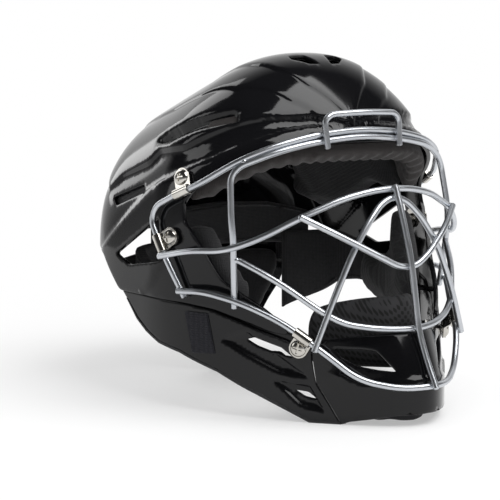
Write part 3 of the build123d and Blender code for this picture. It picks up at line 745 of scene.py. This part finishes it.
# %% Jaw panels
chin_seam = [(-89, 54), (-88.5, 44), (-91, 27), (-98, 13), (-104, 0)]
jaw_edge = [(-88, 0), (-83, 3), (-60, 17), (-36, 30), (-8, 40), (12, 44), (26, 50), (38, 57)]
jaw_outline = [(y, z - 0.3) for y, z in seam_line + chin_seam]
jaw_outline += [(y, z + 1.4) for y, z in jaw_edge]
upper_recess = [(-40, 52), (-55, 58), (-86, 31), (-72, 33)]
upper_hole = [(-54, 53), (-61, 55), (-72, 50), (-79, 43), (-69, 45), (-60, 49)]
lower_recess = [(-70, 27), (-88, 24), (-95, 9), (-83, 12)]
lower_hole = [(-80, 21), (-87, 20), (-92, 15), (-85, 17)]
recess_depth, recess_slope, panel_inset, lap_inset = 2.2, 2.8, 0.5, 4.0
jaw_wall, lap_wall, chin_wall = 3.0, 1.6, 3.2


def unrolled(line, pitch):
    """A line seen from the side, with its Y turned into the run along the plan curve."""
    return [Vector((np.interp(place.x, plan_depth, plan_runs), place.y))
            for place in stations(line, pitch)]


def rolled(sheet, side, sunk):
    """Rolls a flat sheet along the plan curve, each point sunk inwards by its own depth."""
    runs = np.array([corner.co.x for corner in sheet.verts])
    before, here, after = (
        np.array([np.interp(runs + step, plan_runs, line) for line in (plan_x, plan_depth)])
        for step in (-0.5, 0, 0.5))
    for corner, (x, y), (dx, dy), low in zip(sheet.verts, here.T, (after - before).T, sunk):
        inward = Vector((-dy, dx)).normalized()
        corner.co = (side * (x + inward.x * low), y + inward.y * low, corner.co.y)
    facing_out(sheet, Vector((side, -0.2, 0)))


def jaw_panel(side):
    rim = unrolled(rounded_outline(jaw_outline, 1.5, 2), 1.6)
    holes = [unrolled(rounded_outline(hole, 1), 1.0) for hole in (upper_hole, lower_hole)]
    slopes = [unrolled(line, 0.9) for recess in (upper_recess, lower_recess)
              for line in slope_lines(recess, recess_slope)]
    panel = filled_sheet(rim, holes, slopes, 1.8)
    places = np.array([corner.co.xy for corner in panel.verts])
    places[:, 0] = np.interp(places[:, 0], plan_runs, plan_depth)
    inside = [steps(signed_distances(places, recess), recess_slope)
              for recess in (upper_recess, lower_recess)]
    rolled(panel, side, panel_inset + recess_depth * np.maximum(*inside))
    name = "right" if side < 0 else "left"
    piece = finish_piece(panel, f"jaw_moulding_{name}", jaw_finish, [f"jaw_panel_{name}"], 50)
    walled(piece, jaw_wall)


def seam_lap(side):
    """The lip inside the seam that the jaw panel is glued to."""
    edges = [(y, z + 5) for y, z in seam_line] + [(y, z - 7) for y, z in reversed(seam_line)]
    lap = filled_sheet(unrolled(edges, 2.0), [], [], 3.0)
    rolled(lap, side, [lap_inset] * len(lap.verts))
    piece = finish_piece(lap, "seam_lap_right" if side < 0 else "seam_lap_left", jaw_finish, [])
    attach(piece, "helmet")
    walled(piece, lap_wall, 0.3)


for side in (-1, 1):
    jaw_panel(side)
    seam_lap(side)

# %% Chin guard
chin_lower = [(-108, 2), (-118, 4), (-131, 7.5)]
chin_upper = [(-128, 61.5), (-108, 58), (-93, 55)]
chin_eye = [(46, 50), (32, 50), (26, 49), (18, 36), (27, 37), (36, 39), (43, 44)]
chin_bumper = both_halves([
    (0, 32), (17, 31), (34, 28), (43, 34), (47, 33), (40, 18), (39, 10), (36, 5), (0, 8)])
chin_lean, bumper_rise, bumper_slope = 14.0, 1.4, 2.2


def chin_y(x, z):
    """How far forward the chin guard is: it leans back above the bumper, most in the middle."""
    lean = max(0, (z - 30) / 30) ** 1.2 * max(0, 1 - (x / 66) ** 2) ** 1.5
    return plan_y(x) + chin_lean * lean


def chin_x(y, z):
    """Where across the chin guard is at this depth."""
    return halved(0.0, 75.0, lambda middle: chin_y(middle, z) < y)


chin_half = [(y - 0.3, z) for y, z in chin_seam] + chin_lower
half_rim = [(0, 62)] + [(chin_x(y, z), z) for y, z in chin_upper + chin_half] + [(0, 8)]
chin_rim = stations(rounded_outline(both_halves(half_rim), 1.0, 2), 1.6)
eyes = [stations(rounded_outline([(side * x, z) for x, z in chin_eye], 1.5), 1.1) for side in (-1, 1)]
slopes = [stations(line, 1.2) for line in slope_lines(chin_bumper, bumper_slope)]
chin = filled_sheet(chin_rim, eyes, slopes, 2.2)
flats = np.array([corner.co.xy for corner in chin.verts])
bumps = bumper_rise * steps(signed_distances(flats, chin_bumper), bumper_slope)
for corner, bump in zip(chin.verts, bumps):
    x, z = corner.co.xy
    here = Vector((x, chin_y(x, z), z))
    across = Vector((x + 0.3, chin_y(x + 0.3, z), z)) - here
    up = Vector((x, chin_y(x, z + 0.3), z + 0.3)) - here
    corner.co = here + across.cross(up).normalized() * bump
facing_out(chin, Vector((0, -1, 0)))
chin_piece = finish_piece(chin, "chin_moulding", shell_finish, ["chin_guard"], 28)
walled(chin_piece, chin_wall)

# %% [markdown]
# ## The wire cage
# Each bar is one round wire, bent at a few places and welded where it crosses another. A circle of
# points is extruded along the bends, step by step, and turned square to the wire each time. The ends
# are ground to a slight dome, and a bead of weld fills each crossing.

# %% Routes of the wires
half_wires = {
    "outer_frame": [(-107.8, -16.4, 78.7), (-114.6, -3.8, 104.1), (-115.5, 12, 128),
        (-113.8, 8.5, 138.2), (-110, -11.5, 147.5), (-103.6, -27, 154.4), (-86, -49.5, 171.2),
        (-63, -62, 181), (-34, -67, 187), (0, -68.5, 189.5)],
    "inner_frame": [(-90.2, -48.9, 73.9), (-92, -51, 93), (-94, -53, 120), (-94.5, -51.5, 133),
        (-92, -47, 160), (-86.4, -49.6, 167.1), (-64, -63.8, 177), (-36, -67.5, 182),
        (0, -69.5, 185)],
    "visor_loop": [(-31, -71.9, 178), (-32, -69.6, 196), (-27, -70.3, 200), (0, -71.8, 201)],
    "upper_eye_bar": [(-118.4, -1.4, 105.4), (-111.6, -25.5, 111), (-99.8, -51.7, 112.5),
        (-84, -71, 122), (-65, -86, 135), (-37, -97, 147), (-17, -101, 151), (0, -101.5, 152)],
    "lower_eye_bar": [(-65.8, -88.3, 135.8), (-46, -103, 124), (-22, -114.4, 110),
        (-9, -117.4, 103), (0, -118.3, 101.5)],
    "nose_arch": [(-64, -100.6, 49.9), (-51, -104, 83), (-36.3, -105.4, 113.1),
        (-22.3, -104.9, 132.1), (-11, -103.5, 143), (0, -103, 147)],
    "mouth_bar": [(-90.4, -54.6, 106), (-75, -78, 93), (-57, -98, 75), (-44, -107, 66.5),
        (-24, -119, 63), (0, -126.8, 62)],
    "chin_frame": [(-112.6, -14.8, 83.1), (-105.4, -33.9, 84.3), (-90.6, -56.2, 78.4),
        (-74, -78.4, 67.2), (-59.5, -101.5, 50.5), (-41.3, -118.8, 31.2), (-20, -135.6, 26.2),
        (0, -144.4, 27)],
    "centre_bar": [(0, -104, 154), (0, -110.4, 138), (0, -120.4, 108), (0, -125, 84),
        (0, -128.6, 62), (0, -137, 43), (0, -146.6, 26)]}
wires = {f"cage_{name}": half + [(-x, y, z) for x, y, z in reversed(half) if x]
         for name, half in half_wires.items()}
wire_radius = 2.15


# %% Bending and drawing a wire
def bent_route(points, share=0.45, step=2.5):
    """Points along a wire with a round bend at each corner, no further apart than step on the bends."""
    corners = [Vector(point) for point in points]
    route = [corners[0]]
    for before, here, after in zip(corners, corners[1:], corners[2:]):
        way_in, way_out = (here - before).normalized(), (after - here).normalized()
        turn = acos(max(-1, min(1, way_in.dot(way_out))))
        run = share * min((here - before).length, (after - here).length)
        radius = run / tan(turn / 2)
        inward = (way_out - way_in * cos(turn)).normalized()
        start = here - way_in * run
        centre = start + inward * radius
        pieces = max(3, int(turn * radius / step))
        for index in range(pieces + 1):
            angle = turn * index / pieces
            route.append(centre - inward * radius * cos(angle) + way_in * radius * sin(angle))
    route.append(corners[-1])
    return route


def tube(sheet, route, radius, sides=14, dome=0.35):
    """Draws a round tube along a route, with slightly domed ends."""
    runs = [(after - before).normalized() for before, after in zip(route, route[1:])]
    facing = [runs[0]] + [(a + b).normalized() for a, b in zip(runs, runs[1:])] + [runs[-1]]
    turned = Vector((0, 0, 1)).rotation_difference(facing[0])
    stops = [(route[0] - facing[0] * radius * dome, facing[0], 0.55)]
    stops += [(point, way, 1.0) for point, way in zip(route, facing)]
    stops.append((route[-1] + facing[-1] * radius * dome, facing[-1], 0.55))
    place = Matrix.Translation(stops[0][0]) @ turned.to_matrix().to_4x4()
    ring = bmesh.ops.create_circle(
        sheet, segments=sides, radius=radius * stops[0][2], matrix=place)["verts"]
    first_edges = edges = list(dict.fromkeys(edge for corner in ring for edge in corner.link_edges))
    for (old, last_way, last_size), (point, way, size) in zip(stops, stops[1:]):
        grown = bmesh.ops.extrude_edge_only(sheet, edges=edges)["geom"]
        ring = [item for item in grown if isinstance(item, bmesh.types.BMVert)]
        edges = [item for item in grown if isinstance(item, bmesh.types.BMEdge)
                 and item.verts[0] in ring and item.verts[1] in ring]
        swing = last_way.rotation_difference(way).to_matrix().to_4x4()
        grow = Matrix.Scale(size / last_size, 4)
        move = Matrix.Translation(point) @ swing @ grow @ Matrix.Translation(-old)
        bmesh.ops.transform(sheet, matrix=move, verts=ring)
    for end_edges in (first_edges, edges):
        bmesh.ops.edgeloop_fill(sheet, edges=end_edges)


routes = {}
for node, points in wires.items():
    routes[node] = bent_route(points)
    wire = bmesh.new()
    tube(wire, routes[node], wire_radius)
    bmesh.ops.recalc_face_normals(wire, faces=wire.faces)
    finish_piece(wire, node.replace("cage_", "wire_"), wire_finish, [node], 50)


# %% Weld beads
def dense(route, step=1.5):
    """The route with more points on its straight runs."""
    points = []
    for before, after in zip(route, route[1:]):
        pieces = max(1, int((after - before).length / step))
        points += [before.lerp(after, index / pieces) for index in range(pieces)]
    return points + [route[-1]]


bead_reach, bead_radius = 4.4, 2.3
fine = {node: dense(route) for node, route in routes.items()}
beads = bmesh.new()
for first, second in combinations(sorted(fine), 2):
    gaps = [min((point - other).length for other in fine[second]) for point in fine[first]]
    for place, gap in enumerate(gaps):
        if gap < bead_reach and gap == min(gaps[max(0, place - 12):place + 13]):
            point = fine[first][place]
            other = min(fine[second], key=lambda candidate: (point - candidate).length)
            middle = Matrix.Translation((point + other) / 2)
            bmesh.ops.create_icosphere(beads, subdivisions=2, radius=bead_radius, matrix=middle)
bead_piece = finish_piece(beads, "weld_beads", wire_finish, [], 60)
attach(bead_piece, "helmet")

# %% [markdown]
# ## Clips and screws
# A P-clip is a strip folded round the wire, its two ends held under a screw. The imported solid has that
# shape, so a merged copy of it gets rolled edges. The screws have a domed head with a cross slot: the
# dome is a profile spun round, and a Boolean cuts two crossed bars out of all the heads at once.


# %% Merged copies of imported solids
def merged_copy(node):
    """A bmesh (m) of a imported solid, with its loose triangles joined."""
    sheet = bmesh.new()
    sheet.from_mesh(frame["nodes"][node].data)
    bmesh.ops.remove_doubles(sheet, verts=sheet.verts, dist=2e-6)
    bmesh.ops.recalc_face_normals(sheet, faces=sheet.faces)
    return sheet


def cad_piece(node, name, finish, crease, width, segments, angle):
    """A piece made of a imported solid, its flat faces merged and its sharp edges rounded."""
    sheet = merged_copy(node)
    bmesh.ops.dissolve_limit(sheet, angle_limit=radians(1), verts=sheet.verts, edges=sheet.edges)
    piece = finish_piece(sheet, name, finish, [node], crease, 1)
    rounding = piece.modifiers.new("round edges", "BEVEL")
    rounding.width = width * MM
    rounding.segments = segments
    rounding.limit_method = "ANGLE"
    rounding.angle_limit = radians(angle)


for kind in ("brow", "ear", "jaw"):
    for side in ("right", "left"):
        cad_piece(f"{kind}_clip_{side}", f"{kind}_strip_{side}", nickel_finish, 30, 0.25, 2, 35)


# %% Screw heads
def islands(sheet):
    """The separate solids of a bmesh, each a list of points."""
    left = dict.fromkeys(sheet.verts)
    while left:
        group = [left.popitem()[0]]
        for corner in group:
            touching = [edge.other_vert(corner) for edge in corner.link_edges]
            group += [other for other in touching if left.pop(other, True) is None]
        yield [corner.co.copy() for corner in group]


head_profile = [
    (0, 2.7), (1.6, 2.62), (3.2, 2.3), (4.5, 1.6), (5.2, 0.8), (5.5, 0.25), (5.4, 0), (2.2, 0)]
head_height, shank_radius = 2.6, 2.2
slot_height, slot_half_sizes, slot_turn = 2.4, (3.3, 0.65, 1.1, 1), 20
packed_screws = merged_copy("clip_screws")
screws, slots = bmesh.new(), bmesh.new()
for points in islands(packed_screws):
    middle = sum(points, Vector()) / len(points) / MM
    points = [point / MM for point in points]
    reach = max((point - middle).length for point in points)
    far_end = [point for point in points if (point - middle).length > reach - 0.3]
    axis = (middle - sum(far_end, Vector()) / len(far_end)).normalized()
    top = max((point - middle).dot(axis) for point in points)
    base = middle + axis * (top - head_height)
    length = top + max(-(point - middle).dot(axis) for point in points) - head_height
    head = bmesh.new()
    profile = head_profile + [(shank_radius, -length), (0, -length)]
    chain = [head.verts.new((x, 0, z)) for x, z in profile]
    edges = [head.edges.new(pair) for pair in zip(chain, chain[1:])]
    bmesh.ops.spin(
        head, geom=chain + edges, cent=(0, 0, 0), axis=(0, 0, 1), angle=2 * pi, steps=28, use_merge=True)
    bmesh.ops.remove_doubles(head, verts=head.verts, dist=1e-4)
    bmesh.ops.recalc_face_normals(head, faces=head.faces)
    place = Matrix.Translation(base) @ Vector((0, 0, 1)).rotation_difference(axis).to_matrix().to_4x4()
    bmesh.ops.transform(head, matrix=place, verts=head.verts)
    scratch = mesh_of(head, "screw")
    screws.from_mesh(scratch)
    bpy.data.meshes.remove(scratch)
    for turn in (0, 90):
        spin = Matrix.Rotation(radians(turn + slot_turn), 4, "Z")
        deep = Matrix.Translation((0, 0, slot_height)) @ Matrix.Diagonal(slot_half_sizes)
        bmesh.ops.create_cube(slots, size=2, matrix=place @ spin @ deep)
packed_screws.free()
screw_piece = finish_piece(screws, "screw_set", nickel_finish, ["clip_screws"], 35)
bmesh.ops.scale(slots, vec=(MM, MM, MM), verts=slots.verts)
cutter = placed("slots", mesh_of(slots, "slots"))
slotting = screw_piece.modifiers.new("slots", "BOOLEAN")
slotting.operation = "DIFFERENCE"
slotting.solver = "EXACT"
slotting.use_self = True
slotting.object = cutter
bake(screw_piece).set_sharp_from_angle(angle=radians(35))
bpy.data.meshes.remove(cutter.data)

# %% [markdown]
# ## Rubber trim, webbing loops and nuts
# A soft extrusion is pressed on the low edge of each jaw panel, and a webbing loop hangs in the two
# slots beside it. Their merged solids only need rounding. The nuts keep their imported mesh.

# %% Trim, loops and nuts
for side in ("right", "left"):
    cad_piece(f"jaw_trim_{side}", f"edge_trim_{side}", rubber_finish, 40, 0.6, 3, 50)
    cad_piece(f"strap_loop_{side}", f"webbing_loop_{side}", webbing_finish, 40, 0.4, 2, 50)
frame["nodes"]["clip_nuts"].data.materials.clear()
frame["nodes"]["clip_nuts"].data.materials.append(nickel_finish)

# %% [markdown]
# ## Padding
# Foam pads swell between their seams. Each starts as a copy of its solid, remeshed into even squares,
# and cloth simulation blows it up a little. The side that lies on the shell is held back, because
# real foam is flat where it is glued. The forehead lining is rippled along its lower edge, where its
# cover is gathered, and the chin cushion is arched.

# %% Swelling a pad
head_middle = Vector((0, 20, 105)) * MM
ripple_middle, ripple_radius, ripple_pitch, arch_reach = 0.02, 0.085, 0.0105, 0.048


def even_copy(node, voxel):
    """A bmesh (m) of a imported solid, remeshed into even squares."""
    scratch = placed("scratch", mesh_of(merged_copy(node), "scratch"))
    remesh = scratch.modifiers.new("even", "REMESH")
    remesh.mode = "VOXEL"
    remesh.voxel_size = voxel * MM
    even = changed_mesh(scratch)
    result = bmesh.new()
    result.from_mesh(even)
    bpy.data.meshes.remove(scratch.data)
    bpy.data.meshes.remove(even)
    return result


def blown_points(sheet, pressure, frames=14):
    """Where cloth simulation takes the points of a closed bmesh that is blown up."""
    mesh = bpy.data.meshes.new("blown")
    sheet.to_mesh(mesh)
    bag = placed("blown", mesh)
    cloth = bag.modifiers.new("cloth", "CLOTH")
    for key, value in (
            ("quality", 4), ("mass", 0.2), ("tension_stiffness", 12), ("compression_stiffness", 12),
            ("bending_stiffness", 0.6), ("use_pressure", True), ("uniform_pressure_force", pressure)):
        setattr(cloth.settings, key, value)
    cloth.settings.effector_weights.gravity = 0
    cloth.collision_settings.use_self_collision = False
    for number in range(1, frames + 1):
        bpy.context.scene.frame_set(number)
    graph = bpy.context.evaluated_depsgraph_get()
    result = bag.evaluated_get(graph).to_mesh()
    points = [corner.co.copy() for corner in result.vertices]
    bag.evaluated_get(graph).to_mesh_clear()
    bpy.context.scene.frame_set(1)
    bpy.data.objects.remove(bag)
    bpy.data.meshes.remove(mesh)
    return points


def pad_piece(
        node, name, finish, voxel=4.0, pressure=4.0, most=3.0, smooth=4, ripple=0, arch=0):
    """A pad blown up by at most this far (mm), its lower edge rippled and its middle arched (mm)."""
    pad = even_copy(node, voxel)
    for _ in range(smooth):
        bmesh.ops.smooth_vert(
            pad, verts=pad.verts, factor=0.5, use_axis_x=True, use_axis_y=True, use_axis_z=True)
    pad.verts.ensure_lookup_table()
    pad.normal_update()
    for corner, point in zip(pad.verts, blown_points(pad, pressure)):
        to_head = corner.normal.dot((head_middle - corner.co).normalized())
        share = min(1, max(0, 0.5 + to_head))
        move = point - corner.co
        if move.length > most * MM:
            move = move.normalized() * most * MM
        corner.co += move * share
    pad.normal_update()
    top, low = max(corner.co.z for corner in pad.verts), min(corner.co.z for corner in pad.verts)
    for corner in pad.verts:
        high = max(0, (corner.co.z - low) / (top - low))
        corner.co.z -= arch * MM * high * (corner.co.x / arch_reach) ** 2
        run = atan2(corner.co.x, ripple_middle - corner.co.y) * ripple_radius
        corner.co.z += ripple * MM * sin(2 * pi * run / ripple_pitch) * max(0, -corner.normal.z)
    piece = finish_piece(pad, name, finish, [node], 60, 1)
    fine_skin = piece.modifiers.new("fine skin", "SUBSURF")
    fine_skin.levels = fine_skin.render_levels = 1


pad_piece("forehead_pad", "forehead_lining", suede_finish, 2.6, smooth=5, ripple=1.1)
pad_piece("crown_pad", "crown_lining", knit_finish)
for side in ("right", "left"):
    pad_piece(f"side_pad_{side}", f"side_lining_{side}", knit_finish)
    pad_piece(f"cheek_pad_{side}", f"cheek_lining_{side}", knit_finish)
pad_piece("chin_pad", "chin_cushion", mesh_finish, 3.0, smooth=24, arch=15)
pad_piece("chin_foam", "chin_cup", cup_finish, 2.5, 2.0, 1.0)
pad_piece("back_plate_pad", "neck_lining", knit_finish)


# %% [markdown]
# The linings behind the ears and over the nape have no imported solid. Each is a slab along a path seen
# from above, with a lower and an upper edge that change along the way.


# %% Linings without a solid
def slab_pad(name, path, low, high, thickness, finish):
    """A soft slab along a path seen from above (mm), from its low to its high edge at each place."""
    slab, grid, count, rows = bmesh.new(), [], 28, 14
    ends = [Vector(place) for place in path]
    for step in range(count + 1):
        share = step / count
        middle = smooth_along(ends, share)
        bottom, top = (np.interp(share, np.linspace(0, 1, len(edge)), edge) for edge in (low, high))
        grid.append([slab.verts.new((middle.x, middle.y, bottom + (top - bottom) * row / rows))
                     for row in range(rows + 1)])
    for first, second in zip(grid, grid[1:]):
        for row in range(rows):
            slab.faces.new((first[row], first[row + 1], second[row + 1], second[row]))
    facing_out(slab, Vector((0, 1, 0)))
    piece = finish_piece(slab, name, finish, [], 60)
    walled(piece, thickness, 2.5)
    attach(piece, "helmet")


for side_name, side in (("right", -1), ("left", 1)):
    slab_pad(
        f"ear_lining_{side_name}",
        [(side * 101, 30), (side * 99, 56), (side * 86, 76), (side * 50, 88)],
        (66, 66, 64, 54, 44), (78, 96, 102, 103, 103), 8, knit_finish)
slab_pad(
    "nape_lining", [(-72, 84), (-40, 94), (0, 97.5), (40, 94), (72, 84)],
    (92, 95, 96, 95, 92), (118, 126, 128, 126, 118), 7, knit_finish)

# %% [markdown]
# ## Back plate and its straps
# The plate behind the neck slides out as the helmet is put on, and elastic straps pull it back in. The
# straps are fixed to the shell at one end and to the plate at the other, so here they are taken off the
# body they were put on and ride on neither.

# %% Back plate
cad_piece("back_plate", "neck_plate", shell_finish, 35, 0.8, 3, 45)

# %% Straps
for side_name, side in (("right", -1), ("left", 1)):
    node = f"side_strap_{side_name}"
    strap = merged_copy(node)
    long_edges = [edge for edge in strap.edges if edge.calc_length() > 0.02]
    bmesh.ops.subdivide_edges(strap, edges=long_edges, cuts=10, use_grid_fill=True)
    piece = finish_piece(strap, f"elastic_{side_name}", elastic_finish, [node], 40, 1)
    piece.parent = None
    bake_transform(piece)
